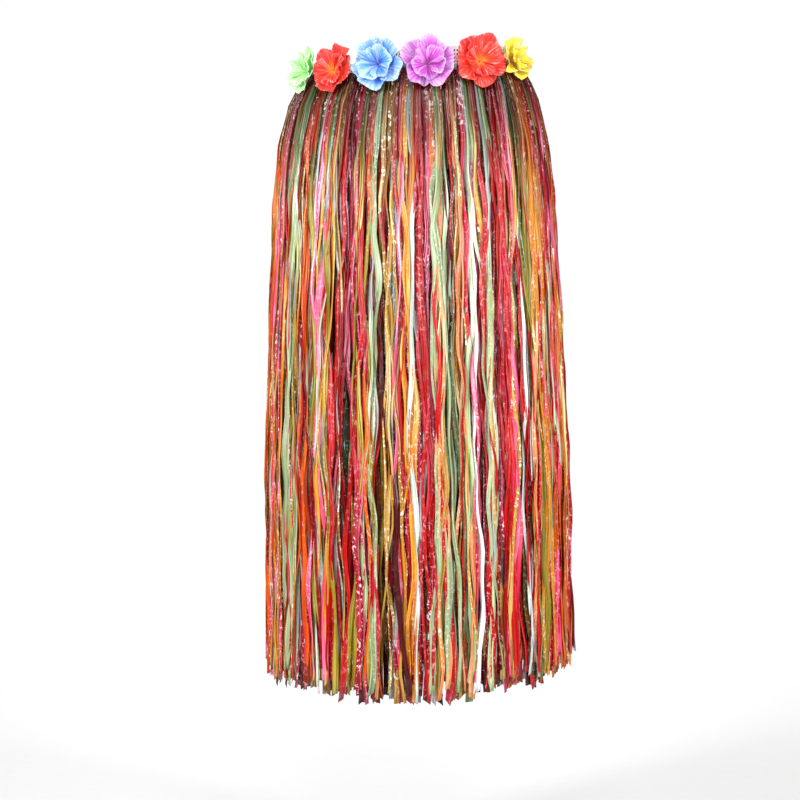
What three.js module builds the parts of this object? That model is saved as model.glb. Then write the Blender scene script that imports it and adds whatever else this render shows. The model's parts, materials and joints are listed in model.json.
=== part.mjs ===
// A grass skirt: a knitted elastic waistband, a fringe of film strips that hangs from it in hanks, and a
// row of fabric flowers round the band. It hangs open, as it does round a waist, and nothing closes it at
// the hem.
//
// Millimetres, +Z up. The origin is the middle of the waist opening, at the height of the band's centre
// line. The front faces -Y. An angle round the waist is 0 at the front and grows towards +X, in degrees.
import * as THREE from "three";

// Driving dimensions.
const BAND = { halfWidth: 138, halfDepth: 103, wall: 2.4, segments: 60 };
const SEAM_GAP = 0.4; // between neighbouring pieces
const HANKS = 24;
const HANK_COLUMNS = 4; // points across one hank
const FRINGE_DROP = 770; // from the band's lower edge to an average tip, as in PROFILE
const SWELL = 2.5; // how far a hank's middle stands out past its edges
const FLOWER = {
  petals: 5,
  outerRadius: 33,
  innerRadius: 21,
  sheet: 1.6, // thickness of a whorl
  stalk: 6, // how far the whorls stand off the band
  foot: 3, // radius of the stalk where it meets the band
};

// The band as it is worn: its centre line rises and falls, and it is narrowest where it is stretched most.
const BAND_SHAPE = [
  { at: -90, middle: -4, height: 12 },
  { at: -60, middle: -10.5, height: 11 },
  { at: -34, middle: -14.5, height: 12 },
  { at: -4, middle: -5.4, height: 24 },
  { at: 22, middle: -1, height: 26 },
  { at: 49, middle: 6.5, height: 23 },
  { at: 75, middle: 8, height: 20 },
  { at: 110, middle: 6, height: 20 },
  { at: 150, middle: 3, height: 20 },
  { at: 180, middle: 1, height: 20 },
];

// The height of the hem round the skirt.
const HEM_SHAPE = [
  { at: -90, height: -770 },
  { at: -45, height: -779 },
  { at: 0, height: -786 },
  { at: 25, height: -781 },
  { at: 50, height: -765 },
  { at: 90, height: -755 },
  { at: 135, height: -768 },
  { at: 180, height: -779 },
];

// The fringe's outer outline, how far its middle leans to +X and its thickness, from the band down. It
// springs out of the knots, passes over the hips and hangs almost straight.
const PROFILE = [
  { drop: 0, halfWidth: 141, halfDepth: 106, lean: 0, thick: 6 },
  { drop: 14, halfWidth: 151, halfDepth: 112, lean: 0, thick: 8 },
  { drop: 40, halfWidth: 161.5, halfDepth: 120, lean: 0, thick: 10 },
  { drop: 90, halfWidth: 172.5, halfDepth: 131.5, lean: 0, thick: 10 },
  { drop: 160, halfWidth: 179.5, halfDepth: 140, lean: 0.5, thick: 10 },
  { drop: 300, halfWidth: 187, halfDepth: 146.5, lean: 2, thick: 10 },
  { drop: 500, halfWidth: 195, halfDepth: 151.5, lean: 5, thick: 10 },
  { drop: 710, halfWidth: 195.5, halfDepth: 152.5, lean: 7.5, thick: 9 },
  { drop: 770, halfWidth: 197, halfDepth: 153.5, lean: 8, thick: 5 },
];

// One row for each hank from the back round the left side to the front and on: how far it stands out, how
// far its tips fall past the hem line, and its colour.
const HANK_SHAPE = [
  { out: 0, tips: 4, film: "red" },
  { out: 1.5, tips: -5, film: "gold" },
  { out: -1, tips: 2, film: "sage" },
  { out: 1, tips: 6, film: "orange" },
  { out: 0.5, tips: -3, film: "pink" },
  { out: -1.5, tips: 3, film: "gold" },
  { out: 2, tips: -4, film: "red" },
  { out: -1, tips: 5, film: "sage" },
  { out: 0, tips: -2, film: "pink" },
  { out: 1.5, tips: 4, film: "gold" },
  { out: -1, tips: 7, film: "orange" },
  { out: 1, tips: 2, film: "pearl" },
];

const FILMS = {
  red: { colour: 0xb03a2c, roughness: 0.32 },
  pink: { colour: 0xd8677c, roughness: 0.32 },
  orange: { colour: 0xc8702e, roughness: 0.34 },
  gold: { colour: 0xb89a52, roughness: 0.34 },
  sage: { colour: 0xa9b594, roughness: 0.36 },
  pearl: { colour: 0xe2dccf, roughness: 0.36 },
};

// One row for each flower: where it is on the band, how far it sits above the band's centre line, its
// colour, its size, and how it is turned and tipped up.
const FLOWERS = [
  { at: -69.5, lift: -2, petal: "green", size: 0.98, roll: 20, tip: 13 },
  { at: -44.5, lift: -2.5, petal: "red", size: 0.96, roll: 8, tip: 9 },
  { at: -18.5, lift: -3, petal: "blue", size: 1.02, roll: 0, tip: 10 },
  { at: 6, lift: -9, petal: "purple", size: 1.02, roll: 30, tip: 7 },
  { at: 33.5, lift: -9, petal: "red", size: 1.06, roll: 12, tip: 8 },
  { at: 58, lift: -6.5, petal: "yellow", size: 0.8, roll: 4, tip: 12 },
  { at: 124, lift: -1, petal: "green", size: 0.97, roll: 26, tip: 15 },
  { at: 150, lift: -1, petal: "blue", size: 1.0, roll: 10, tip: 13 },
  { at: 176, lift: -2, petal: "red", size: 0.98, roll: 33, tip: 12 },
  { at: 202, lift: -2, petal: "purple", size: 1.0, roll: 16, tip: 12 },
  { at: 228, lift: -1, petal: "yellow", size: 0.96, roll: 2, tip: 14 },
];

const PETALS = { red: 0xe04030, blue: 0x84aee3, purple: 0xc771be, yellow: 0xe8c41c, green: 0xb4ec9c };

// The outline of one petal, as shares of the whorl's radius and forward reach: a notch, then the lobe.
const OUTER_LOBE = [
  { radius: 0.74, reach: 0.72 },
  { radius: 0.98, reach: 0.92 },
  { radius: 1.0, reach: 1.12 },
  { radius: 0.95, reach: 0.9 },
];
const INNER_LOBE = [
  { radius: 0.72, reach: 0.8 },
  { radius: 1.0, reach: 1.05 },
  { radius: 0.96, reach: 0.95 },
];

const degrees = THREE.MathUtils.degToRad;

// A value from a table of rows round the waist, eased between rows and closed on itself.
function roundTheWaist(rows, column, angle) {
  const turn = (((angle - rows[0].at) % 360) + 360) % 360;
  const starts = rows.map((row) => row.at - rows[0].at);
  const i = starts.findLastIndex((start) => start <= turn);
  const next = (i + 1) % rows.length;
  const span = (starts[i + 1] ?? 360) - starts[i];
  const share = THREE.MathUtils.smoothstep((turn - starts[i]) / span, 0, 1);
  return THREE.MathUtils.lerp(rows[i][column], rows[next][column], share);
}

const bandMiddle = (angle) => roundTheWaist(BAND_SHAPE, "middle", angle);
const bandHeight = (angle) => roundTheWaist(BAND_SHAPE, "height", angle);
const bandLowerEdge = (angle) => bandMiddle(angle) - bandHeight(angle) / 2;

function onEllipse(halfWidth, halfDepth, angle, z, lean = 0) {
  const a = degrees(angle);
  return new THREE.Vector3(halfWidth * Math.sin(a) + lean, -halfDepth * Math.cos(a), z);
}

// A closed solid from triangles over a list of points.
function solid(points, triangles) {
  const geometry = new THREE.BufferGeometry().setFromPoints(points);
  geometry.setIndex(triangles);
  geometry.computeVertexNormals();
  return geometry;
}

function piece(name, geometry, colour, roughness) {
  const looks = { color: colour, roughness, metalness: 0, flatShading: true };
  const mesh = new THREE.Mesh(geometry, new THREE.MeshStandardMaterial(looks));
  mesh.name = name;
  return mesh;
}

// The waistband: a ring with a four-sided section.
function waistband() {
  const points = [];
  const triangles = [];
  const sides = 4;
  for (let i = 0; i < BAND.segments; i++) {
    const angle = (360 * i) / BAND.segments;
    const top = bandMiddle(angle) + bandHeight(angle) / 2;
    const bottom = bandLowerEdge(angle);
    const inner = [BAND.halfWidth - BAND.wall, BAND.halfDepth - BAND.wall];
    points.push(
      onEllipse(BAND.halfWidth, BAND.halfDepth, angle, bottom),
      onEllipse(BAND.halfWidth, BAND.halfDepth, angle, top),
      onEllipse(...inner, angle, top),
      onEllipse(...inner, angle, bottom),
    );
    const next = (i + 1) % BAND.segments;
    for (let s = 0; s < sides; s++) {
      const t = (s + 1) % sides;
      const [a, b, c, d] = [i * sides + s, next * sides + s, next * sides + t, i * sides + t];
      triangles.push(a, b, c, a, c, d);
    }
  }
  return piece("waistband", solid(points, triangles), 0xe9e4d6, 0.7);
}

// One hank of strips: a curved slab with an outer and an inner face, uneven at its tips.
function hank(index) {
  const shape = HANK_SHAPE[index % HANK_SHAPE.length];
  const step = 360 / HANKS;
  const middle = -180 + step * (index + 0.5);
  const last = HANK_COLUMNS - 1;
  const faces = [[], []]; // outer and inner points, row by row
  PROFILE.forEach((row, i) => {
    for (let j = 0; j <= last; j++) {
      const across = j / last;
      const inset = THREE.MathUtils.radToDeg(SEAM_GAP / 2 / row.halfDepth);
      const angle = middle + (across - 0.5) * (step - 2 * inset);
      const top = bandLowerEdge(angle) - SEAM_GAP;
      const tips = roundTheWaist(HEM_SHAPE, "height", angle) - shape.tips - (j % 2 ? 5 : 0);
      const z = THREE.MathUtils.lerp(top, tips, row.drop / FRINGE_DROP);
      const hanging = Math.min(1, row.drop / PROFILE[2].drop);
      const out = hanging * (shape.out + SWELL * (Math.sin(Math.PI * across) - 0.5));
      const halfWidth = row.halfWidth + out;
      const halfDepth = row.halfDepth + out;
      const innerSize = [halfWidth - row.thick, halfDepth - row.thick];
      faces[0].push(onEllipse(halfWidth, halfDepth, angle, z, row.lean));
      faces[1].push(onEllipse(...innerSize, angle, z, row.lean));
    }
  });
  const points = [...faces[0], ...faces[1]];
  const inner = faces[0].length;
  const rows = PROFILE.length;
  const at = (i, j) => i * HANK_COLUMNS + j;
  const triangles = [];
  const quad = (a, b, c, d) => triangles.push(a, b, c, a, c, d);
  for (let i = 0; i < rows - 1; i++) {
    for (let j = 0; j < last; j++) {
      quad(at(i, j), at(i + 1, j), at(i + 1, j + 1), at(i, j + 1));
      quad(inner + at(i, j), inner + at(i, j + 1), inner + at(i + 1, j + 1), inner + at(i + 1, j));
    }
    quad(at(i, 0), inner + at(i, 0), inner + at(i + 1, 0), at(i + 1, 0));
    quad(at(i, last), at(i + 1, last), inner + at(i + 1, last), inner + at(i, last));
  }
  for (let j = 0; j < last; j++) {
    const end = rows - 1;
    quad(at(0, j), at(0, j + 1), inner + at(0, j + 1), inner + at(0, j));
    quad(at(end, j), inner + at(end, j), inner + at(end, j + 1), at(end, j + 1));
  }
  const film = FILMS[shape.film];
  const name = "hank_" + String(index + 1).padStart(2, "0");
  return piece(name, solid(points, triangles), film.colour, film.roughness);
}

// A whorl of petals: a cupped sheet in rings round its own +Z, which faces out of the flower. Each ring says
// its radius and its height on the front and on the back; the last ring follows the lobes.
function whorl(rings, radius, reach, lobe) {
  const spokes = FLOWER.petals * lobe.length;
  const points = [];
  const triangles = [];
  const sheets = ["front", "back"].map((side) => {
    const start = points.length;
    points.push(new THREE.Vector3(0, 0, rings[0][side]));
    rings.forEach((ring, i) => {
      for (let s = 0; s < spokes; s++) {
        const edge = lobe[s % lobe.length];
        const rim = i === rings.length - 1;
        const r = rim ? radius * edge.radius : ring.radius;
        const z = rim ? reach * edge.reach + ring[side] : ring[side];
        const a = (2 * Math.PI * s) / spokes;
        points.push(new THREE.Vector3(r * Math.sin(a), r * Math.cos(a), z));
      }
    });
    return start;
  });
  const turned = (side, a, b, c) => triangles.push(...(side === 0 ? [a, c, b] : [a, b, c]));
  sheets.forEach((start, side) => {
    for (let s = 0; s < spokes; s++) {
      const t = (s + 1) % spokes;
      turned(side, start, start + 1 + s, start + 1 + t);
      for (let i = 0; i < rings.length - 1; i++) {
        const [a, b] = [start + 1 + i * spokes, start + 1 + (i + 1) * spokes];
        turned(side, a + s, b + s, b + t);
        turned(side, a + s, b + t, a + t);
      }
    }
  });
  const [front, back] = sheets.map((start) => start + 1 + (rings.length - 1) * spokes);
  for (let s = 0; s < spokes; s++) {
    const t = (s + 1) % spokes;
    triangles.push(front + s, front + t, back + t, front + s, back + t, back + s);
  }
  return solid(points, triangles);
}

function outerWhorl(size) {
  const { sheet, stalk, foot, outerRadius } = FLOWER;
  const rings = [
    { radius: foot, front: stalk, back: SEAM_GAP },
    { radius: 6, front: stalk + 0.4, back: stalk - sheet },
    { radius: 17 * size, front: stalk + 4.5, back: stalk + 4.5 - sheet },
    { front: stalk, back: stalk - sheet },
  ];
  return whorl(rings, outerRadius * size, 11.5, OUTER_LOBE);
}

function innerWhorl(size) {
  const { sheet, stalk, innerRadius } = FLOWER;
  const base = stalk + SEAM_GAP + sheet;
  const rings = [
    { radius: 3.5, front: base, back: base - sheet },
    { radius: 11 * size, front: base + 6.5, back: base + 6.5 - sheet },
    { front: base, back: base - sheet },
  ];
  return whorl(rings, innerRadius * size, 15, INNER_LOBE);
}

// A flower's two whorls, facing out of the band at its place.
function flower(row, index) {
  const a = degrees(row.at);
  const out = new THREE.Vector3(Math.sin(a) / BAND.halfWidth, -Math.cos(a) / BAND.halfDepth, 0).normalize();
  const place = onEllipse(BAND.halfWidth, BAND.halfDepth, row.at, bandMiddle(row.at) + row.lift);
  const group = new THREE.Group();
  group.up.set(0, 0, 1);
  // The stalk's foot is tipped too, so the flower stands out until the foot's upper edge clears the band.
  group.position.copy(place).addScaledVector(out, FLOWER.foot * Math.sin(degrees(row.tip)) + SEAM_GAP);
  group.lookAt(group.position.clone().add(out).add(new THREE.Vector3(0, 0, Math.tan(degrees(row.tip)))));
  const name = "flower_" + String(index + 1).padStart(2, "0");
  const sheets = { outer: outerWhorl(row.size), inner: innerWhorl(row.size) };
  for (const [layer, geometry] of Object.entries(sheets)) {
    const mesh = piece(name + "_" + layer, geometry, PETALS[row.petal], 0.75);
    mesh.rotation.z = degrees(row.roll + (layer === "inner" ? 180 / FLOWER.petals : 0));
    group.add(mesh);
  }
  return group;
}

const skirt = new THREE.Group();
skirt.add(waistband());
for (let i = 0; i < HANKS; i++) skirt.add(hank(i));
FLOWERS.forEach((row, i) => skirt.add(flower(row, i)));

export default skirt;
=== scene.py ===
# %% [markdown]
# # A grass skirt
#
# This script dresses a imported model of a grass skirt. The real skirt has three kinds of piece: a knitted
# elastic waistband, several hundred strips of crinkled film that are knotted into the band's lower edge, and
# a row of fabric flowers sewn on the band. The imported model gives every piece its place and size. Here each
# one gets its real surface: every strip is modelled, every petal is a ruffled sheet, and the band is made of
# cords and loops.

# %% Load the frame
import json
import math

import bpy
import numpy as np
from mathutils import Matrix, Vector
from mathutils.bvhtree import BVHTree


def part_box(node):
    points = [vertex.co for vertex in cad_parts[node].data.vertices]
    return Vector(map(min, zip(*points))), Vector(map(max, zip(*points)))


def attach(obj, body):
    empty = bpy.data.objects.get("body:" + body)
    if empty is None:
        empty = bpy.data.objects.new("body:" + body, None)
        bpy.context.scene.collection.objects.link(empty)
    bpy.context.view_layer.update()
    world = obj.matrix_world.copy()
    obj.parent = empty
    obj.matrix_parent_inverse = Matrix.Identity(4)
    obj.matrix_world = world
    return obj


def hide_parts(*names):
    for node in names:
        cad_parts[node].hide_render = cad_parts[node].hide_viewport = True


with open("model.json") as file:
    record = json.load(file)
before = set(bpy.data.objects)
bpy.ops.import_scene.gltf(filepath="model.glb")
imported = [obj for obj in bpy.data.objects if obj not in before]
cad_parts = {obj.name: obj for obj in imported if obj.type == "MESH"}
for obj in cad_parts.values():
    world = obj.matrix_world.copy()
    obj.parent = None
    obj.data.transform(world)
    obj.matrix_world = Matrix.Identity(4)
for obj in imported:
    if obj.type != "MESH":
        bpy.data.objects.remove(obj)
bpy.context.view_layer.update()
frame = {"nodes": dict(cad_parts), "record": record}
bpy.ops.object.select_all(action="DESELECT")
HANKS = sorted(name for name in frame["nodes"] if name.startswith("hank_"))
WHORLS = sorted(name for name in frame["nodes"] if name.startswith("flower_"))


def slot_of(node):
    return next(part["material_slot"] for part in frame["record"]["subparts"] if part["node"] == node)


print(len(HANKS), "hanks and", len(WHORLS), "whorls of petals")

# %% [markdown]
# ## Where the pieces are
#
# Everything goes round an oval, so places are given by a bearing: 0 at the front, growing towards +X. The
# band's height changes round the waist, where it is stretched more or less. Both edges are read off the
# band's own corners, and later asked for at any bearing.

# %% Measure the band
band_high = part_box("waistband")[1]
BAND_HALF_WIDTH = band_high.x
BAND_HALF_DEPTH = band_high.y
OUTSIDE = 0.995  # corners further out than this share of the oval are on the band's outer face


def corners_of(name):
    mesh = frame["nodes"][name].data
    flat = np.empty(len(mesh.vertices) * 3)
    mesh.vertices.foreach_get("co", flat)
    return flat.reshape(-1, 3)


def on_oval(half_width, half_depth, bearing, height):
    """Points on an oval round the axis, as rows of x, y, z."""
    x, y = half_width * np.sin(bearing), -half_depth * np.cos(bearing)
    return np.stack(np.broadcast_arrays(x, y, height), axis=-1)


def bearing_of(x, y):
    return np.arctan2(x / BAND_HALF_WIDTH, -y / BAND_HALF_DEPTH)


corners = corners_of("waistband")
reach = np.hypot(corners[:, 0] / BAND_HALF_WIDTH, corners[:, 1] / BAND_HALF_DEPTH)
corners = corners[reach > OUTSIDE]
corner_bearings = np.round(bearing_of(corners[:, 0], corners[:, 1]), 3)
BEARINGS = np.unique(corner_bearings)
LOWER_EDGE = np.array([corners[corner_bearings == b, 2].min() for b in BEARINGS])
UPPER_EDGE = np.array([corners[corner_bearings == b, 2].max() for b in BEARINGS])


def band_lower(bearing):
    return np.interp(bearing, BEARINGS, LOWER_EDGE, period=2 * math.pi)


def band_upper(bearing):
    return np.interp(bearing, BEARINGS, UPPER_EDGE, period=2 * math.pi)


print("the band is", round(2000 * BAND_HALF_WIDTH), "mm wide")

# %% [markdown]
# The fringe springs out of the band, passes over the hips and then hangs almost straight. Rays shot at the
# hanks from outside, at the front, back and both sides, say how far out it stands at each drop below the
# band.

# %% Measure the fringe
hank_points, hank_faces = [], []
for name in HANKS:
    start = sum(len(p) for p in hank_points)
    hank_points.append(corners_of(name))
    hank_faces += [[start + v for v in face.vertices] for face in frame["nodes"][name].data.polygons]
fringe_tree = BVHTree.FromPolygons(np.concatenate(hank_points).tolist(), hank_faces)
OFF_SEAM = math.radians(4)  # the hanks meet at the exact front, back and sides
DROPS = np.concatenate([[0.002, 0.007, 0.014, 0.027], np.linspace(0.04, 0.72, 30)])
NEAR_TIP = 0.03  # the part of a hank whose middle gives the bearing of its tips
HIPS = 0.16  # the drop at which the fringe passes over the hips


def face_at(bearing, drop):
    """The point of the fringe's face that is seen from outside at one bearing and drop."""
    out = Vector((math.sin(bearing), -math.cos(bearing), 0))
    start = out + Vector((0, 0, float(band_lower(bearing)) - drop))
    return fringe_tree.ray_cast(start, -out)[0]


RIGHT_SIDE, LEFT_SIDE = math.pi / 2 - OFF_SEAM, -math.pi / 2 + OFF_SEAM
FRONT, BACK = OFF_SEAM, math.pi - OFF_SEAM
right_reach = np.array([face_at(RIGHT_SIDE, d).x for d in DROPS])
left_reach = np.array([-face_at(LEFT_SIDE, d).x for d in DROPS])
HALF_WIDTHS = (right_reach + left_reach) / 2
HALF_DEPTHS = np.array([(face_at(BACK, d).y - face_at(FRONT, d).y) / 2 for d in DROPS])
LEANS = (right_reach - left_reach) / 2
hank_middles, hank_tips = [], []
for name in HANKS:
    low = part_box(name)[0]
    points = corners_of(name)
    middle = points[points[:, 2] < low.z + NEAR_TIP].mean(axis=0)
    sideways = (middle[0] - LEANS[-1]) / HALF_WIDTHS[-1]
    hank_middles.append(math.atan2(sideways, -middle[1] / HALF_DEPTHS[-1]))
    hank_tips.append(low.z)
order = np.argsort(hank_middles)
TIP_BEARINGS, TIP_HEIGHTS = np.array(hank_middles)[order], np.array(hank_tips)[order]


def hem_height(bearing):
    return np.interp(bearing, TIP_BEARINGS, TIP_HEIGHTS, period=2 * math.pi)


print("the hips are", round(2000 * float(np.interp(HIPS, DROPS, HALF_WIDTHS))), "mm wide")
print("the hem leans", round(1000 * float(LEANS[-1])), "mm to the side")

# %% [markdown]
# ## Shader maths as plain expressions
#
# A material is a graph of nodes. The small class below wraps one output of one node, so that sums and
# products can be written as Python does, and the `Finish` class makes any node from its type, its settings
# and what goes into its sockets.

# %% Two helpers for materials


class Link:
    """An output socket that can stand on either side of a sum or a product."""

    def __init__(self, finish, socket):
        self.finish = finish
        self.socket = socket

    def maths(self, operation, other):
        return self.finish.node("ShaderNodeMath", {"operation": operation}, {0: self, 1: other})

    def __add__(self, other):
        return self.maths("ADD", other)

    def __mul__(self, other):
        return self.maths("MULTIPLY", other)

    __radd__ = __add__
    __rmul__ = __mul__


class Finish:
    """The node tree of a material or a world."""

    def __init__(self, owner):
        owner.use_nodes = True
        self.owner = owner
        self.tree = owner.node_tree
        self.tree.nodes.clear()

    def node(self, kind, settings=None, sockets=None, output=0):
        made = self.tree.nodes.new(kind)
        for name, value in (settings or {}).items():
            if name == "stops":
                self.set_stops(made.color_ramp, value)
            else:
                setattr(made, name, value)
        for key, value in (sockets or {}).items():
            if isinstance(value, Link):
                self.tree.links.new(value.socket, made.inputs[key])
            else:
                made.inputs[key].default_value = value
        return Link(self, made.outputs[output]) if made.outputs else made

    def set_stops(self, ramp, stops):
        while len(ramp.elements) < len(stops):
            ramp.elements.new(0.5)
        for element, (position, colour) in zip(ramp.elements, stops):
            element.position = position
            element.color = colour

    def mix(self, factor, a, b, how="MIX"):
        """Two colours, mixed. The numbered sockets are those of the Mix node's colours."""
        settings = {"data_type": "RGBA", "blend_type": how, "clamp_factor": True}
        return self.node("ShaderNodeMix", settings, {0: factor, 6: a, 7: b}, output=2)

    def ramp(self, factor, low, high):
        """0 at low, 1 at high, and smooth in between."""
        settings = {"interpolation_type": "SMOOTHSTEP"}
        return self.node("ShaderNodeMapRange", settings, {"Value": factor, "From Min": low, "From Max": high})

    def stretched_noise(self, place, scale, detail=2.0, distortion=0.0):
        """Noise on coordinates that are scaled unevenly, for streaks."""
        spread = self.node("ShaderNodeMapping", None, {"Vector": place, "Scale": scale})
        sockets = {"Vector": spread, "Scale": 1.0, "Detail": detail, "Distortion": distortion}
        return self.node("ShaderNodeTexNoise", None, sockets)

    def surface(self, shader):
        self.node("ShaderNodeOutputMaterial", None, {"Surface": shader})
        return self.owner


def linear(code):
    """A dye written as six hexadecimal digits, as the linear colour that shaders take."""
    shares = [int(code[i : i + 2], 16) / 255 for i in (0, 2, 4)]
    return tuple(s / 12.92 if s <= 0.04045 else ((s + 0.055) / 1.055) ** 2.4 for s in shares)


def opaque(code):
    return (*linear(code), 1.0)


# %% [markdown]
# ## The film
#
# The strips are polypropylene film, dyed, drawn thin and crushed. Every strip has a colour of its own, so the
# dye is not in the material: the mesh carries it as a colour attribute, with painted shade where a strip lies
# deep or among the knots, together with a number for how crushed that strip is and the colour and strength of
# its painted sheen. The material adds what all strips share: a gloss, long streaks where the film was drawn,
# painted with sheen and shade, small sharp crinkles across it with painted shade in their creases and painted
# glints on their ridges, and a faint glow of its own dye, painted in as emission for the light that comes
# through the thin film.

# %% The film's material
# In each ramp, the two numbers are the values of the noise where a mark starts and where it is full.
STREAKS = (520.0, 7.0, 1.0)  # per metre across and along a strip
FINE_STREAKS = (1500.0, 30.0, 1.0)
CRINKLES = (230.0, 170.0, 1.0)
CLOUDS = (90.0, 6.0, 1.0)
WHITE = (1.0, 1.0, 1.0, 1.0)
PAINTED_GLOW = 0.06  # painted glow of the film's own dye, for light coming through it; the petals glow twice as much


def film_material():
    film = Finish(bpy.data.materials.new("film"))
    place = film.node("ShaderNodeUVMap", {"uv_map": "strip"})
    dye = film.node("ShaderNodeAttribute", {"attribute_name": "dye"}, output="Color")
    sheen = film.node("ShaderNodeAttribute", {"attribute_name": "sheen"}, output="Color")
    crush = film.node("ShaderNodeAttribute", {"attribute_name": "crush"}, output="Fac")
    silk = film.node("ShaderNodeAttribute", {"attribute_name": "silk"}, output="Fac")
    streaks = film.stretched_noise(place, STREAKS)
    fine = film.stretched_noise(place, FINE_STREAKS)
    crinkle = film.stretched_noise(place, CRINKLES, distortion=1.2)
    clouds = film.stretched_noise(place, CLOUDS)
    # deep is the dye darkened by itself: the colour of the painted shade in the streaks and creases.
    deep = film.mix(1.0, dye, film.mix(0.9, WHITE, dye), "MULTIPLY")
    # Painted shade in the grooves of the long streaks.
    base = film.mix(film.ramp(streaks, 0.56, 0.36) * 0.8, dye, deep)
    # Painted shade in the creases of the crinkles, where the film is crushed.
    shaded_creases = film.mix(film.ramp(crinkle, 0.43, 0.33) * crush * 0.7, base, deep)
    # Painted sheen: pale streaks where the dye is mixed towards the colour of its sheen.
    painted_sheen_streaks = film.ramp(streaks + clouds * 0.6, 0.74, 0.90) * silk
    lit = film.mix(painted_sheen_streaks * 0.95, shaded_creases, sheen)
    # Painted glints: near-white highlights on the ridges of the crinkles.
    painted_glints = film.ramp(crinkle, 0.57, 0.63) * crush
    colour = film.mix(painted_glints * 0.85, lit, film.mix(0.6, sheen, WHITE))
    height = streaks + fine * 0.2 + crinkle * crush * 1.6 + clouds * 0.8
    bump = film.node("ShaderNodeBump", None, {"Strength": 1.0, "Distance": 0.0012, "Height": height})
    sockets = {
        "Base Color": colour,
        "Roughness": film.ramp(clouds, 0.3, 0.7) * 0.16 + 0.16,
        "Specular IOR Level": 0.25,
        "Coat Weight": 0.12,
        "Coat Roughness": 0.06,
        # The emission is a painted glow: the dye lit as if by light coming through the thin film.
        "Emission Color": colour,
        "Emission Strength": PAINTED_GLOW,
        "Normal": bump,
    }
    return film.surface(film.node("ShaderNodeBsdfPrincipled", None, sockets))


FILM = film_material()
print("made the film's material")

# %% [markdown]
# ## The strips
#
# A strip is a ribbon that has been folded along its length, so a cut across it is a shallow zigzag. It starts
# narrow at its knot, opens out over the hips, wanders a little to the sides, turns about its own length and
# ends in a slanted cut. All of that is a few random curves along each strip, so the strips of one hank are
# worked out together as arrays: one row for each strip, one column for each place along it. A curve with a
# bevel could make a ribbon too, but a mesh can also carry a dye with its painted shade and a painted sheen
# that change along it. The seed makes every run the same.

# %% The dyes and the layers
# One row for each dye: its colour and the colour of its painted sheen, how common it is, how much it is
# crushed and how strong its painted sheen streaks are.
DYES = [
    {"name": "crimson", "colour": "BC0C0A", "sheen": "F06270", "share": 0.15, "crush": 0.3, "silk": 0.6},
    {"name": "deep red", "colour": "8E0806", "sheen": "D23A2A", "share": 0.08, "crush": 0.2, "silk": 0.4},
    {"name": "rose", "colour": "D82C4C", "sheen": "FAA0BE", "share": 0.09, "crush": 1.0, "silk": 0.9},
    {"name": "pink", "colour": "E8557E", "sheen": "FDC6DE", "share": 0.07, "crush": 1.1, "silk": 1.0},
    {"name": "orange", "colour": "D2560A", "sheen": "F8A262", "share": 0.09, "crush": 0.3, "silk": 0.7},
    {"name": "amber", "colour": "DE8E16", "sheen": "FDD47C", "share": 0.08, "crush": 0.5, "silk": 0.8},
    {"name": "gold", "colour": "C8993C", "sheen": "FFF2C0", "share": 0.13, "crush": 1.0, "silk": 1.0},
    {"name": "olive", "colour": "988420", "sheen": "D8D078", "share": 0.04, "crush": 0.4, "silk": 0.6},
    {"name": "sage", "colour": "AAB98C", "sheen": "EAF6E2", "share": 0.10, "crush": 0.4, "silk": 1.0},
    {"name": "silver", "colour": "C4CEC8", "sheen": "F6F6FF", "share": 0.08, "crush": 0.5, "silk": 1.1},
    {"name": "pearl", "colour": "EAE2E2", "sheen": "FFFFFF", "share": 0.05, "crush": 0.7, "silk": 1.1},
    {"name": "peach", "colour": "E2965E", "sheen": "FDDFC4", "share": 0.05, "crush": 0.8, "silk": 0.9},
]
# One row for each layer of the fringe: strips in a hank, points along a strip, how deep it lies, its widths,
# and how much of the light the strips over it let through, which is painted into its colours as shade.
LAYERS = [
    {"strips": 12, "points": 32, "depth": 0.0085, "narrow": 0.0065, "wide": 0.0115, "lit": 0.28},
    {"strips": 11, "points": 40, "depth": 0.0045, "narrow": 0.0045, "wide": 0.0095, "lit": 0.66},
    {"strips": 11, "points": 52, "depth": 0.0008, "narrow": 0.0030, "wide": 0.0085, "lit": 1.0},
]
SECTION = np.array([-1.0, -0.36, 0.3, 1.0])  # places of the folds across a strip, as shares of its half width
FILM_STACK = 0.0005  # thickness of the folded film
KNOT_WIDTH = 0.42  # a strip's width at its knot, as a share of its full width
STAY_REPEAT = 0.3  # how often a strip has the dye of the one beside it


def wave(rng, rows, along, longest, octaves=3):
    """One smooth random curve for each row, about -1 to 1, with its longest wave given in metres."""
    total = np.zeros((rows, along.shape[-1]))
    for octave in range(octaves):
        length = longest * 0.5**octave * rng.uniform(0.75, 1.3, (rows, 1))
        phase = rng.uniform(0, 2 * math.pi, (rows, 1))
        total += 0.6**octave * np.sin(2 * math.pi * along / length + phase)
    return total / 1.6


def smooth(values, low, high):
    """0 at low, 1 at high, and smooth in between, for arrays."""
    t = np.clip((values - low) / (high - low), 0, 1)
    return t * t * (3 - 2 * t)


def pick_dyes(rng, count):
    """A dye for each strip, as its row in the table."""
    shares = np.array([dye["share"] for dye in DYES])
    picks = rng.choice(len(DYES), count, p=shares / shares.sum())
    for i in range(1, count):
        if rng.random() < STAY_REPEAT:
            picks[i] = picks[i - 1]
    return picks


# %% Where a strip runs
TUCK = 0.0015  # how far up inside the lower chain a strip starts
SHORTER, UNEVEN = 0.007, 0.009  # how much shorter than its hank a strip is cut, and how unevenly
LONGEST, SHORTEST = -0.006, 0.045  # the limits of that
LEANING, LEANT_BY = 0.013, 0.7  # how far a strip leans to the side, and at which drop
STRAYS, STRAYING, STRAYED_BY = 0.1, 0.022, 0.75  # how many strips stray as well, how far, and at which drop
SIDE_SWAY, DEPTH_SWAY = 0.0055, 0.0022


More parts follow.
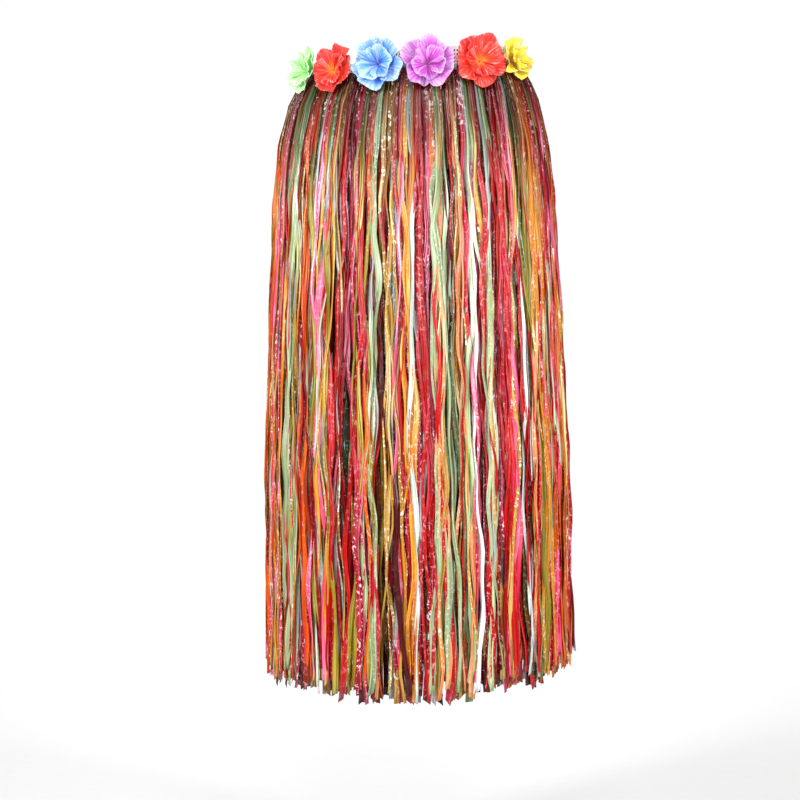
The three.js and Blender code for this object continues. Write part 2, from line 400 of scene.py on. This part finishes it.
def strip_paths(rng, first_bearing, sector, layer):
    """Points down the middle of each strip of one layer of one hank, with its width and its turn."""
    count, places = layer["strips"], layer["points"]
    slots = (np.arange(count) + 0.5 + rng.uniform(-0.8, 0.8, count)) / count
    bearing = (first_bearing + sector * slots)[:, None]
    start = band_lower(bearing) + TUCK
    tip = hem_height(bearing) + np.clip(rng.normal(SHORTER, UNEVEN, (count, 1)), LONGEST, SHORTEST)
    share = np.linspace(0, 1, places)[None, :] ** 1.15
    drop = (start - tip) * share
    lean = rng.normal(0, LEANING, (count, 1)) * drop / LEANT_BY
    stray = np.where(rng.random((count, 1)) < STRAYS, rng.normal(0, STRAYING, (count, 1)), 0)
    stray = stray * (drop / STRAYED_BY) ** 1.5
    loose = smooth(drop, 0.0, 0.16)
    side = lean + stray + loose * SIDE_SWAY * wave(rng, count, drop, 0.42)
    depth = layer["depth"] + loose * DEPTH_SWAY * wave(rng, count, drop, 0.4) - 0.006 * np.abs(stray) / 0.03
    depth = np.minimum(depth, layer["depth"] + 0.003) * smooth(drop, -0.01, 0.03)
    half_width = np.interp(drop, DROPS, HALF_WIDTHS) - depth
    half_depth = np.interp(drop, DROPS, HALF_DEPTHS) - depth
    turned = bearing + side / np.hypot(half_width * np.cos(bearing), half_depth * np.sin(bearing))
    middle = on_oval(half_width, half_depth, turned, start - drop)
    middle[..., 0] += np.interp(drop, DROPS, LEANS)
    full = rng.uniform(layer["narrow"], layer["wide"], (count, 1))
    opening = KNOT_WIDTH + (1 - KNOT_WIDTH) * smooth(drop, 0.0, 0.045)
    width = full * opening * (1 + 0.22 * wave(rng, count, drop, 0.22))
    turn = loose * (rng.normal(0, 0.45, (count, 1)) + 0.6 * wave(rng, count, drop, 0.4))
    return {"middle": middle, "bearing": turned, "width": width, "turn": turn, "drop": drop}


# %% [markdown]
# A ring of points stands round each place along a strip: the zigzag on its face, and the same zigzag on its
# back, one film's thickness away. Joining each ring to the next gives a closed ribbon, and a cap closes both
# its ends.

# %% From paths to meshes
FOLD = 0.14  # how deep the folds are, as a share of the strip's width


def unit(vectors):
    return vectors / np.linalg.norm(vectors, axis=-1, keepdims=True)


def strip_points(rng, path):
    """The ring of points round each place of each strip, and their places on the flat strip, in metres."""
    count, places = path["width"].shape
    down = unit(np.gradient(path["middle"], axis=1))
    out = on_oval(HALF_DEPTHS[-1], HALF_WIDTHS[-1], path["bearing"], 0.0)
    across = unit(np.cross(down, unit(out)))
    face = np.cross(across, down)
    cos, sin = np.cos(path["turn"])[..., None], np.sin(path["turn"])[..., None]
    across, face = across * cos + face * sin, face * cos - across * sin
    folds = len(SECTION)
    zigzag = rng.uniform(0.4, 1.0, (count, 1, folds)) * np.where(np.arange(folds) % 2, 1, -1)
    zigzag *= rng.choice([-1, 1], (count, 1, 1))
    fold = FOLD * path["width"] * (1 + 0.6 * wave(rng, count, path["drop"], 0.15))
    lift = zigzag * fold[..., None]
    spread = SECTION * path["width"][..., None] / 2
    slant = rng.uniform(-1.0, 1.0, (count, 1, 1)) * spread
    slant = slant * (np.arange(places) == places - 1)[None, :, None]
    rings = []
    for thickness, ordering in ((FILM_STACK / 2, slice(None)), (-FILM_STACK / 2, slice(None, None, -1))):
        points = path["middle"][..., None, :] + across[..., None, :] * spread[..., None]
        points = points + face[..., None, :] * (lift + thickness)[..., None]
        points = points + down[..., None, :] * slant[..., None]
        rings.append(points[..., ordering, :])
    own = rng.uniform(0, 9, (count, 1, 1))
    flat_across = np.concatenate([spread, spread[..., ::-1]], axis=-1) + own
    flat_along = np.broadcast_to(path["drop"][..., None] + own, flat_across.shape)
    return np.concatenate(rings, axis=2), np.stack([flat_across, flat_along], axis=-1)


def ribbon_faces(count, places, ring):
    """Quads between the rings of each strip, and a cap of quads at both its ends."""
    strip = np.arange(count)[:, None, None] * places * ring
    row = np.arange(places - 1)[None, :, None] * ring
    i = np.arange(ring)[None, None, :]
    j = (i + 1) % ring
    here, below = strip + row, strip + row + ring
    walls = np.stack([here + i, here + j, below + j, below + i], axis=-1)
    k = np.arange(ring // 2 - 1)[None, :]
    cap = np.stack([k, ring - 1 - k, ring - 2 - k, k + 1], axis=-1)
    first = strip[:, 0][..., None] + cap
    last = strip[:, 0][..., None] + (places - 1) * ring + cap[..., ::-1]
    return np.concatenate([walls.reshape(-1, 4), first.reshape(-1, 4), last.reshape(-1, 4)])


def mesh_from(name, points, quads):
    """A smooth mesh object from arrays of points and of quads."""
    mesh = bpy.data.meshes.new(name)
    mesh.vertices.add(len(points))
    mesh.vertices.foreach_set("co", points.astype(np.float32).ravel())
    mesh.loops.add(quads.size)
    mesh.loops.foreach_set("vertex_index", quads.astype(np.int32).ravel())
    mesh.polygons.add(len(quads))
    mesh.polygons.foreach_set("loop_start", np.arange(0, quads.size, 4, dtype=np.int32))
    mesh.polygons.foreach_set("use_smooth", np.ones(len(quads), dtype=bool))
    mesh.update(calc_edges=True)
    made = bpy.data.objects.new(name, mesh)
    bpy.context.scene.collection.objects.link(made)
    return made


# %% Colours along the strips
LIT_AT_KNOT = 0.34  # how much light reaches a strip among the knots
DEEPENING = 1.5  # how much richer a dye looks where the light has bounced between strips
PAINTED_SHEEN_HIGH, PAINTED_SHEEN_LOW = 1.3, 0.35  # how strong the painted sheen is over the hips, and at the hem


def strip_colours(rng, path, layer):
    """The dye with painted shade, painted sheen colour, crush and painted sheen strength of each strip at each
    place along it.
    """
    count = layer["strips"]
    picks = pick_dyes(rng, count)
    drop = path["drop"]
    # Painted shade: the dye and sheen are darkened, and deepened, where a strip lies under others or among the
    # knots.
    light = layer["lit"] * (LIT_AT_KNOT + (1 - LIT_AT_KNOT) * smooth(drop, 0.01, 0.18))
    strength = (rng.uniform(0.76, 1.14, (count, 1)) * light)[..., None]
    richer = 1 + DEEPENING * (1 - light[..., None])
    dye = np.array([linear(DYES[p]["colour"]) for p in picks])[:, None, :] ** richer * strength
    sheen = np.array([linear(DYES[p]["sheen"]) for p in picks])[:, None, :] ** richer * strength
    crush = np.array([DYES[p]["crush"] for p in picks])[:, None] * rng.uniform(0.1, 1.5, (count, 1))
    crush = crush * smooth(wave(rng, count, drop, 0.5), -0.6, 0.5)
    # The painted sheen is strongest over the hips, weaker at the knot and the hem, and comes in patches.
    envelope = 0.5 + (PAINTED_SHEEN_HIGH - 0.5) * smooth(drop, 0.02, 0.14)
    envelope += (PAINTED_SHEEN_LOW - PAINTED_SHEEN_HIGH) * smooth(drop, 0.25, 0.6)
    patches = smooth(wave(rng, count, drop, 0.4), -0.7, 0.5)
    silk = np.array([DYES[p]["silk"] for p in picks])[:, None] * rng.uniform(0.3, 1.1, (count, 1))
    return dye, sheen, crush, silk * envelope * patches


# %% Make the hanks
SECTOR = 2 * math.pi / len(HANKS)
FRINGE_SEED = 100


def add_attribute(mesh, name, values):
    """Numbers or colours for every point of a mesh."""
    if values.ndim == 1:
        mesh.attributes.new(name, "FLOAT", "POINT").data.foreach_set("value", values)
    else:
        colours = np.concatenate([np.clip(values, 0, 1), np.ones((len(values), 1))], axis=1)
        mesh.color_attributes.new(name, "FLOAT_COLOR", "POINT").data.foreach_set("color", colours.ravel())


def hank(index, name):
    """All the strips of one hank, layer by layer, as one piece."""
    rng = np.random.default_rng(FRINGE_SEED + index)
    first_bearing = round(hank_middles[index] / SECTOR - 0.5) * SECTOR
    points, places, quads = [], [], []
    extras = {"dye": [], "sheen": [], "crush": [], "silk": []}
    made = 0
    for layer in LAYERS:
        path = strip_paths(rng, first_bearing, SECTOR, layer)
        ring_points, flat = strip_points(rng, path)
        count, rows, ring = ring_points.shape[:3]
        quads.append(ribbon_faces(count, rows, ring) + made)
        made += count * rows * ring
        points.append(ring_points.reshape(-1, 3))
        places.append(flat.reshape(-1, 2))
        for kept, values in zip(extras.values(), strip_colours(rng, path, layer)):
            values = np.broadcast_to(values, (count, rows, *values.shape[2:]))
            kept.append(np.repeat(values.reshape(count * rows, *values.shape[2:]), ring, axis=0))
    piece = mesh_from("fringe_" + name[-2:], np.concatenate(points), np.concatenate(quads))
    for extra, kept in extras.items():
        add_attribute(piece.data, extra, np.concatenate(kept))
    uv = np.concatenate(places)[np.concatenate(quads).ravel()]
    piece.data.uv_layers.new(name="strip").data.foreach_set("uv", uv.ravel())
    piece.data.materials.append(FILM)
    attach(piece, "root")
    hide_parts(name)
    return piece


fringe = [hank(index, name) for index, name in enumerate(HANKS)]

# %% [markdown]
# ## The waistband
#
# The band is crocheted from white cord round elastic threads. It is made here as a white net with a dark wall
# behind it. A grid is bent into the oval and its edges follow the measured band. Every second face of every
# second row is a stitch's hole: those are deleted, Solidify gives the net its cords, and Subdivision Surface
# makes them round. A bump on a plain wall would be less work, but the band's dark inside has to show through
# between the cords. The net is stretched where the band is tall and closes up where it is narrow, as the real
# one does.

# %% A ring bent from a grid
HOLE_ROWS = 5
HOLE_SHARE = 0.5  # of the band's length and height, taken by the holes
STITCH = 0.0036
NET_INSET = 0.0002
SEAM = 0.00005  # points closer than this are one point
band_round = np.diff(on_oval(BAND_HALF_WIDTH, BAND_HALF_DEPTH, np.linspace(0, 2 * math.pi, 721), 0.0), axis=0)
BAND_LENGTH = float(np.linalg.norm(band_round, axis=1).sum())
STITCHES = round(BAND_LENGTH / STITCH)
bpy.context.tool_settings.mesh_select_mode = (False, False, True)  # the holes are picked by their faces


def uneven(count, first_share):
    """Places of the lines of a grid whose cells are wide and narrow in turn, from 0 to 1."""
    cells = np.where(np.arange(count) % 2, 1 - first_share, first_share)
    return np.concatenate([[0], np.cumsum(cells)]) / cells.sum()


def bent_grid(name, columns, rows, inset):
    """A grid whose lines go round the band's oval and up its height, joined where its ends meet."""
    bpy.ops.mesh.primitive_grid_add(x_subdivisions=len(columns) - 1, y_subdivisions=len(rows) - 1, size=1)
    made = bpy.context.object
    made.name = name
    across = np.tile(columns, len(rows)) * 2 * math.pi
    up = np.repeat(rows, len(columns))
    height = band_lower(across) + (band_upper(across) - band_lower(across)) * up
    points = on_oval(BAND_HALF_WIDTH - inset, BAND_HALF_DEPTH - inset, across, height)
    made.data.vertices.foreach_set("co", points.ravel())
    bpy.ops.object.mode_set(mode="EDIT")
    bpy.ops.mesh.select_all(action="SELECT")
    bpy.ops.mesh.remove_doubles(threshold=SEAM)
    bpy.ops.mesh.normals_make_consistent(inside=False)
    bpy.ops.mesh.select_all(action="DESELECT")
    bpy.ops.object.mode_set(mode="OBJECT")
    return made


def thicken(made, thickness, levels):
    """Gives a sheet its wall, inwards, and rounds it off as many times as levels says."""
    bpy.context.view_layer.objects.active = made
    wall = made.modifiers.new("wall", "SOLIDIFY")
    wall.thickness = thickness
    wall.offset = -1
    bpy.ops.object.modifier_apply(modifier="wall")
    if levels:
        rounded = made.modifiers.new("rounded", "SUBSURF")
        rounded.levels = rounded.render_levels = levels
        bpy.ops.object.modifier_apply(modifier="rounded")
    bpy.ops.object.shade_smooth()


# %% Crochet the net
NET_CORD = 0.001
BARS = 2 * HOLE_ROWS + 1  # rows of cord and of holes
net = bent_grid("band_net", uneven(2 * STITCHES, HOLE_SHARE), uneven(BARS, 1 - HOLE_SHARE), NET_INSET)
for face in net.data.polygons:
    turn = float(bearing_of(face.center.x, face.center.y)) / (2 * math.pi) % 1
    lower, upper = band_lower(turn * 2 * math.pi), band_upper(turn * 2 * math.pi)
    row = int((face.center.z - float(lower)) * BARS / float(upper - lower))
    face.select = turn * STITCHES % 1 < HOLE_SHARE and row % 2 == 1
holes = sum(face.select for face in net.data.polygons)
bpy.ops.object.mode_set(mode="EDIT")
bpy.ops.mesh.delete(type="FACE")
bpy.ops.object.mode_set(mode="OBJECT")
thicken(net, NET_CORD, 1)
print("the net has", holes, "holes in", STITCHES, "stitches")

# %% [markdown]
# A chain of looped cord runs along each edge. One loop is modelled, a torus pulled long, and copied round the
# band. The lower loops are larger, because the strips are knotted into them.

# %% Chain the edges
WALL_INSET = 0.0016
WALL = 0.0006
LOOP_CORD = 0.00055
LOOP_INSET = 0.0008
LOOP_SHAPE = (1.25, 0.8, 1.0)  # a round loop, pulled long
UPRIGHT = np.array([0.0, 0.0, 1.0])


def loops_round(name, count, height_at, size, tilt):
    """One looped cord, copied round the band into one mesh."""
    bpy.ops.mesh.primitive_torus_add(
        major_radius=size, minor_radius=LOOP_CORD, major_segments=12, minor_segments=6
    )
    loop = bpy.context.object
    points = np.empty(len(loop.data.vertices) * 3)
    loop.data.vertices.foreach_get("co", points)
    points = points.reshape(-1, 3) * LOOP_SHAPE
    quads = np.array([face.vertices[:] for face in loop.data.polygons])
    bpy.ops.object.delete()
    turns = (np.arange(count) + 0.5) / count * 2 * math.pi
    half_width, half_depth = BAND_HALF_WIDTH - LOOP_INSET, BAND_HALF_DEPTH - LOOP_INSET
    centres = on_oval(half_width, half_depth, turns, height_at(turns))
    out = unit(on_oval(BAND_HALF_DEPTH, BAND_HALF_WIDTH, turns, 0.0))
    side = np.cross(UPRIGHT, out)
    lean = np.where(np.arange(count) % 2, tilt, -tilt)[:, None]
    along = side * np.cos(lean) + UPRIGHT * np.sin(lean)
    up = np.cross(out, along)
    placed = centres[:, None] + points[:, :1] * along[:, None] + points[:, 1:2] * up[:, None]
    placed = placed + points[:, 2:] * out[:, None]
    faces = quads[None] + np.arange(count)[:, None, None] * len(points)
    return mesh_from(name, placed.reshape(-1, 3), faces.reshape(-1, 4))


upper_chain = loops_round("band_upper_chain", STITCHES, lambda b: band_upper(b) - 0.0004, 0.0019, 0.35)
KNOTS = 170
lower_chain = loops_round("band_lower_chain", KNOTS, lambda b: band_lower(b) + 0.0002, 0.0024, 0.2)
core = bent_grid("band_core", np.linspace(0, 1, 181), np.linspace(0, 1, 5), WALL_INSET)
thicken(core, WALL, 0)
print("the edges have", STITCHES + KNOTS, "loops")

# %% [markdown]
# The cord is soft cotton-covered yarn: white, matt, with a fine twist and fluff. The wall behind it is dark
# and ribbed. Both patterns are noise on the object's own coordinates, which are metres here.

# %% The band's two materials


def yarn_material(name, dark, light, roughness, sheen):
    """A matt fibre with a fine twist."""
    yarn = Finish(bpy.data.materials.new(name))
    where = yarn.node("ShaderNodeTexCoord", None, None, output="Object")
    twist = yarn.stretched_noise(where, (700.0, 700.0, 2600.0), detail=3.0, distortion=0.6)
    fluff = yarn.stretched_noise(where, (160.0, 160.0, 160.0), detail=3.0)
    shade = yarn.mix(yarn.ramp(twist, 0.35, 0.6), opaque(dark), opaque(light))
    worn = yarn.mix(yarn.ramp(fluff, 0.4, 0.75) * 0.2, shade, opaque(dark))
    bump = yarn.node("ShaderNodeBump", None, {"Strength": 0.8, "Distance": 0.0004, "Height": twist})
    sockets = {
        "Base Color": worn,
        "Roughness": yarn.ramp(fluff, 0.2, 0.8) * 0.15 + roughness,
        "Sheen Weight": sheen,
        "Specular IOR Level": 0.3,
        "Normal": bump,
    }
    return yarn.surface(yarn.node("ShaderNodeBsdfPrincipled", None, sockets))


CORD = yarn_material("band_cord", "E6E2DA", "FFFEFA", 0.6, 0.3)
DARK_WALL = yarn_material("band_dark_wall", "120C0A", "35261E", 0.7, 0.1)
for part in (net, upper_chain, lower_chain):
    part.data.materials.append(CORD)
core.data.materials.append(DARK_WALL)
for part in (core, net, upper_chain, lower_chain):
    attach(part, "root")
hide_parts("waistband")
bpy.ops.object.select_all(action="DESELECT")
print("the band is", round(BAND_LENGTH * 1000), "mm round, stretched")

# %% [markdown]
# ## The flowers
#
# Each flower has two whorls, stamped out of thin cloth and pressed hot, which leaves fine pleats that run
# from the heart to the rim. The outer whorl is a wide frill and the inner one a folded cup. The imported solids
# say where each whorl is: a whorl is the same from all five sides, so the direction in which its points are
# spread least is its axis, and its five-fold pattern says where its petals point.

# %% Where the whorls are


def whorl_place(outer_name, name):
    """The foot, the axis, the two sideways directions, the radius and the first petal's angle of a whorl."""
    points = corners_of(outer_name)
    middle = points.mean(axis=0)
    axis = np.linalg.eigh(np.cov((points - middle).T))[1][:, 0]
    axis = axis * np.sign(axis @ (middle[0], middle[1], 0.0))
    foot = middle + axis * ((points - middle) @ axis).min()
    right = unit(np.cross(UPRIGHT, axis))
    up = np.cross(axis, right)
    from_foot = corners_of(name) - foot
    x, y = from_foot @ right, from_foot @ up
    radius = np.hypot(x, y)
    rim = radius > 0.9 * radius.max()
    pattern = (np.exp(5j * np.arctan2(x, y)) * rim).sum()
    return foot, axis, right, up, radius.max(), np.angle(pattern) / 5


# %% The cloth of the petals
# One row for each colour of cloth: at the heart, half way out, at the tip and along the edges.
PETAL_DYES = {
    "petal_red": {"heart": "FF9A14", "middle": "F43A08", "tip": "E4262A", "edge": "F4604E"},
    "petal_blue": {"heart": "2A5FC6", "middle": "5298EC", "tip": "86B8F4", "edge": "DCE9FB"},
    "petal_purple": {"heart": "A01A94", "middle": "C446C0", "tip": "C966CC", "edge": "EDD2F4"},
    "petal_yellow": {"heart": "D49A0C", "middle": "F0D818", "tip": "F7E636", "edge": "FDF3A0"},
    "petal_green": {"heart": "86DC6A", "middle": "AEEF96", "tip": "C6F6B6", "edge": "E4FCDC"},
}
PLEATS = (1100.0, 45.0, 1.0)  # per metre across and along a petal


def petal_material():
    cloth = Finish(bpy.data.materials.new("petal_cloth"))
    place = cloth.node("ShaderNodeUVMap", {"uv_map": "petal"})
    dye = cloth.node("ShaderNodeAttribute", {"attribute_name": "dye"}, output="Color")
    pleats = cloth.stretched_noise(place, PLEATS)
    blotch = cloth.stretched_noise(place, (110.0, 70.0, 1.0))
    weave = cloth.stretched_noise(place, (3600.0, 3600.0, 1.0), detail=1.0)
    # deep is the dye darkened by itself: the colour of the painted shade in the pleats.
    deep = cloth.mix(1.0, dye, cloth.mix(0.75, WHITE, dye), "MULTIPLY")
    # Painted shade in the hollows of the pleats.
    shaded_pleats = cloth.mix(cloth.ramp(pleats, 0.54, 0.38) * 0.9, dye, deep)
    # Painted highlight: paler streaks on the pleats' ridges, in cloudy patches.
    pale = cloth.mix(0.4, dye, WHITE)
    colour = cloth.mix(cloth.ramp(blotch * 0.6 + pleats, 0.86, 1.02) * 0.7, shaded_pleats, pale)
    height = pleats + weave * 0.15
    bump = cloth.node("ShaderNodeBump", None, {"Strength": 1.0, "Distance": 0.0007, "Height": height})
    sockets = {
        "Base Color": colour,
        "Roughness": cloth.ramp(weave, 0.3, 0.7) * 0.15 + 0.5,
        "Specular IOR Level": 0.35,
        "Sheen Weight": 0.15,
        "Emission Color": colour,
        # The emission is a painted glow: the cloth's colour lit as if by light coming through it.
        "Emission Strength": 2 * PAINTED_GLOW,
        "Normal": bump,
    }
    return cloth.surface(cloth.node("ShaderNodeBsdfPrincipled", None, sockets))


PETAL_CLOTH = petal_material()
print("made the petals' cloth")

# %% [markdown]
# A petal starts as a flat grid. Each point of the grid has a share across the petal, from -1 to 1, and a
# share along it, from 0 at the heart to 1 at the rim. Formulas turn the two into a place: the cup, the
# ruffles that grow towards the rim, the pleats, the curl of the rim and one edge lying over the next petal.
# Simulated cloth would fold too, but formulas keep each petal where its solid is.

# %% Shape the petals
ACROSS, ALONG = 32, 13  # cells of one petal's grid
PETALS = 5
CLOTH = 0.0005
# One row for each kind of whorl: its reach as a share of its solid's radius, how high its rim stands, where
# it starts, how far its heart stands off that, how wide a petal spreads, its ruffles, how far its petals vary
# and how late they rise.
WHORL_SHAPES = {
    "outer": {
        "reach": 1.08, "rise": 0.0115, "base": 0.0, "stalk": 0.0055,
        "half_angle": 0.86, "ruffle": 0.0042, "vary": 0.14, "steep": 1.6,
    },
    "inner": {
        "reach": 1.22, "rise": 0.0135, "base": 0.0065, "stalk": 0.0015,
        "half_angle": 0.92, "ruffle": 0.0046, "vary": 0.3, "steep": 0.9,
    },
}


def petal_points(rng, shape, radius):
    """Each grid point's angle from the petal's middle, distance from the axis and height above the foot."""
    across, along = np.meshgrid(np.linspace(-1, 1, ACROSS + 1), np.linspace(0.03, 1, ALONG + 1))
    length = radius * shape["reach"] * (1 + shape["vary"] * rng.uniform(-0.7, 0.3))
    lobes = 0.5 + 0.5 * np.cos(across * rng.uniform(5.0, 8.0) + rng.uniform(0, 6))
    rim = 1 - 0.22 * np.abs(across) ** 3 - 0.08 * lobes * along**3
    distance = length * along * rim
    angle = across * shape["half_angle"] * (0.62 + 0.38 * smooth(along, 0.0, 0.5))
    angle = angle * (1 - 0.12 * smooth(along, 0.75, 1.0)) + rng.normal(0, 0.09)
    height = shape["base"] + shape["stalk"] * smooth(distance, 0.0, 0.007)
    cup = 1 + shape["vary"] * rng.uniform(-1, 1)
    height = height + shape["rise"] * cup * along ** shape["steep"]
    waves = np.sin(across * rng.uniform(3.4, 5.2) + rng.uniform(0, 6))
    waves = waves + 0.5 * np.sin(across * rng.uniform(7, 10) + rng.uniform(0, 6))
    height = height + shape["ruffle"] * rng.uniform(0.6, 1.2) * waves * along**2 / 1.3
    height = height + 0.0011 * across * smooth(along, 0.05, 0.4)
    height = height + 0.00055 * np.sin(across * 26 + rng.uniform(0, 6)) * smooth(along, 0.2, 0.6)
    curl = rng.uniform(-0.6, 1.0) * smooth(along, 0.72, 1.0)
    height = height - 0.0035 * curl
    distance = distance - 0.0012 * np.abs(curl)
    return angle, distance, height, across, along


# %% Colour the petals


def petal_colours(rng, dyes, across, along):
    """Heart, middle and tip in turn, paler along the rim and in a patch or two."""
    heart, middle, tip, edge = (np.array(linear(dyes[k])) for k in ("heart", "middle", "tip", "edge"))
    inner = smooth(along, 0.12, rng.uniform(0.35, 0.62))[..., None]
    outward = smooth(along, 0.45, 0.95)[..., None]
    colour = heart * (1 - inner) + middle * inner
    colour = colour * (1 - outward) + tip * outward
    rim = smooth(along, 0.7, 1.0) * 0.4 + smooth(np.abs(across), 0.6, 1.0) * 0.3 * smooth(along, 0.3, 0.7)
    rim = np.clip(rim * rng.uniform(0.3, 1.3), 0, 1)[..., None]
    pale = smooth(np.sin(across * rng.uniform(2, 5) + rng.uniform(0, 6)), 0.3, 1.0)[..., None] * 0.35
    colour = colour * (1 - rim) + edge * rim
    return (colour * (1 - pale) + edge * pale) * rng.uniform(0.8, 1.08)


# %% Make a petal


def petal(rng, shape, place, turn, dyes):
    """One petal of a whorl, turned about the whorl's axis."""
    foot, axis, right, up, radius, first = place
    bpy.ops.mesh.primitive_grid_add(x_subdivisions=ACROSS, y_subdivisions=ALONG, size=1)
    made = bpy.context.object
    angle, distance, height, across, along = petal_points(rng, shape, radius)
    angle = angle + first + turn
    sideways = (distance * np.sin(angle))[..., None] * right + (distance * np.cos(angle))[..., None] * up
    points = foot + sideways + height[..., None] * axis
    made.data.vertices.foreach_set("co", points.ravel())
    add_attribute(made.data, "dye", petal_colours(rng, dyes, across, along).reshape(-1, 3))
    flat = np.stack([across * radius * 0.7 + turn, along * radius], axis=-1).reshape(-1, 2)
    corners = np.empty(len(made.data.loops), dtype=np.int32)
    made.data.loops.foreach_get("vertex_index", corners)
    while made.data.uv_layers:
        made.data.uv_layers.remove(made.data.uv_layers[0])
    made.data.uv_layers.new(name="petal").data.foreach_set("uv", flat[corners].ravel())
    return made


# %% Make the whorls
# The flat cut of one petal, a fan: the length of its middle line and of its rim, as shares of its solid's
# radius. A whorl is five fans, cut side by side from one strip of cloth.
PETAL_CUTS = {"outer": (1.1, 1.4), "inner": (1.3, 1.6)}
FAN = 0.62  # the share of its rectangle that a fan fills
FLOWER_SEED = 1005


def whorl(name):
    """The five petals of a whorl, joined and given their thickness."""
    layer = name.split("_")[-1]
    number = int(name.split("_")[1])
    rng = np.random.default_rng(FLOWER_SEED + 10 * number + (layer == "inner"))
    place = whorl_place(name.replace("inner", "outer"), name)
    dyes = PETAL_DYES[slot_of(name)]
    shape = WHORL_SHAPES[layer]
    petals = [petal(rng, shape, place, 2 * math.pi * i / PETALS, dyes) for i in range(PETALS)]
    bpy.ops.object.select_all(action="DESELECT")
    for one in petals:
        one.select_set(True)
    bpy.context.view_layer.objects.active = petals[0]
    bpy.ops.object.join()
    piece = bpy.context.object
    piece.name = "petals_" + name.removeprefix("flower_")
    thicken(piece, CLOTH, 0)
    piece.data.materials.append(PETAL_CLOTH)
    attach(piece, "root")
    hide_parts(name)
    length, rim_width = (share * place[4] for share in PETAL_CUTS[layer])
    cut = (PETALS * rim_width, length)
    FAN * cut[0] * cut[1]
    bpy.ops.object.select_all(action="DESELECT")
    return piece


flowers = [whorl(name) for name in WHORLS]
print("made", len(flowers) // 2, "flowers with", len(flowers) * PETALS, "petals")

# %% [markdown]
# ## Camera, light and floor
#
# The skirt is seen level and straight on, from far enough away that its front isn't drawn much larger than
# its sides. Two tall lamps at the front put long highlights on the film, one is higher up, and one stands
# behind. The floor fades out with distance, so it meets the white backdrop without an edge.

# %% The camera
EYE_DISTANCE = 2.5
EYE_SIDE, EYE_BELOW = -0.019, 0.436  # how far the eye is to the left, and below the band's upper edge
SKIRT_MIDDLE = (0, 0, -0.35)
FRAME_WIDTH = 1.04  # metres across the picture at the skirt's axis
SENSOR = 36.0


def aim(thing, target):
    thing.rotation_euler = (Vector(target) - thing.location).to_track_quat("-Z", "Y").to_euler()


eye_height = float(band_upper(0.0)) - EYE_BELOW
bpy.ops.object.camera_add(location=(EYE_SIDE, -EYE_DISTANCE, eye_height), rotation=(math.pi / 2, 0, 0))
camera = bpy.context.object
camera.data.sensor_width = SENSOR
camera.data.lens = SENSOR * EYE_DISTANCE / FRAME_WIDTH
bpy.context.scene.camera = camera
bpy.context.scene.view_settings.view_transform = "Standard"
print("the eye is", round(1000 * EYE_BELOW), "mm below the band's upper edge")

# %% The lights
# One row for each soft light: where it stands, its width and height in metres and its power in watts.
LIGHTS = [
    {"at": (-1.6, -2.0, 0.5), "width": 0.5, "height": 1.5, "power": 70},
    {"at": (1.8, -1.8, 0.3), "width": 0.4, "height": 1.5, "power": 48},
    {"at": (0.2, -2.4, 1.7), "width": 1.2, "height": 0.6, "power": 36},
    {"at": (0.0, 2.2, 0.6), "width": 1.8, "height": 1.4, "power": 36},
]
for light in LIGHTS:
    bpy.ops.object.light_add(type="AREA", location=light["at"])
    lamp = bpy.context.object
    lamp.data.shape = "RECTANGLE"
    lamp.data.size = light["width"]
    lamp.data.size_y = light["height"]
    lamp.data.energy = light["power"]
    aim(lamp, SKIRT_MIDDLE)
print("lit by", len(LIGHTS), "lamps")

# %% The room
# It is brighter to the eye than as a light, so the backdrop stays white and the film keeps its contrast.
BACKDROP = 1.02
ROOM_LIGHT = 0.2
room = Finish(bpy.data.worlds.new("studio"))
seen = room.node("ShaderNodeLightPath", None, None, output="Is Camera Ray")
lit = room.node("ShaderNodeBackground", None, {"Color": WHITE, "Strength": ROOM_LIGHT})
backdrop = room.node("ShaderNodeBackground", None, {"Color": WHITE, "Strength": BACKDROP})
both = room.node("ShaderNodeMixShader", None, {0: seen, 1: lit, 2: backdrop})
room.node("ShaderNodeOutputWorld", None, {"Surface": both})
bpy.context.scene.world = room.owner

# %% The floor
FLOOR = -1.06  # the wearer's feet, below the hem
FLOOR_RADIUS = 2.4
bpy.ops.mesh.primitive_circle_add(vertices=96, radius=FLOOR_RADIUS, fill_type="NGON", location=(0, 0, FLOOR))
floor = bpy.context.object
floor.name = "floor"
paper = Finish(bpy.data.materials.new("paper"))
where = paper.node("ShaderNodeTexCoord", None, None, output="Object")
grain = paper.node("ShaderNodeTexNoise", None, {"Vector": where, "Scale": 40.0})
shade = paper.mix(grain, (0.93, 0.93, 0.93, 1.0), (0.97, 0.97, 0.97, 1.0))
matte = paper.node("ShaderNodeBsdfPrincipled", None, {"Base Color": shade, "Roughness": 0.9})
clear = paper.node("ShaderNodeBsdfTransparent", None, None)
radius = paper.node("ShaderNodeVectorMath", {"operation": "LENGTH"}, {0: where}, output="Value")
fade = paper.ramp(radius, 0.7, FLOOR_RADIUS)
faded = paper.node("ShaderNodeMixShader", None, {0: fade, 1: matte, 2: clear})
floor.data.materials.append(paper.surface(faded))
print("the floor is", round(-1000 * FLOOR), "mm under the band")
